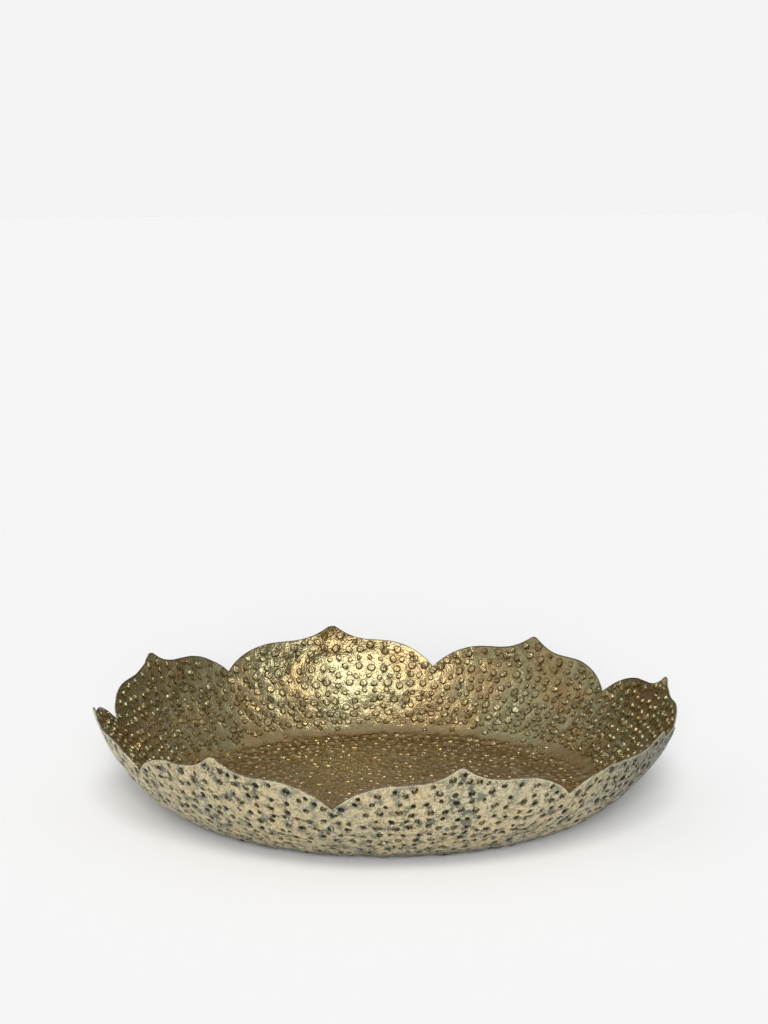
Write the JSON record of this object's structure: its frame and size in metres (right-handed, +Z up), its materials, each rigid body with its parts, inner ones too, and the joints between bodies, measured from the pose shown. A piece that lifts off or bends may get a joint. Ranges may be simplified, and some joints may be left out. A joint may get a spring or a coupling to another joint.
{
  "type": "decorative urli bowl",
  "caption": "Shallow round brass bowl with a flat floor, a curved hammered wall and a rim cut into pointed lotus petals.",
  "frame": {"origin": "centre of the flat underside, where the bowl's axis meets the surface it stands on", "axes": "+Z up along the bowl's axis, out of its mouth; a petal tip points along +X and one along +Y"},
  "size_m": [0.3, 0.3, 0.057],
  "materials": {
    "brass": "antique brass sheet, hammered all over, satin, with grey-green patina in the punch marks"
  },
  "bodies": {
    "root": {"bowl": "brass"}
  },
  "joints": []
}
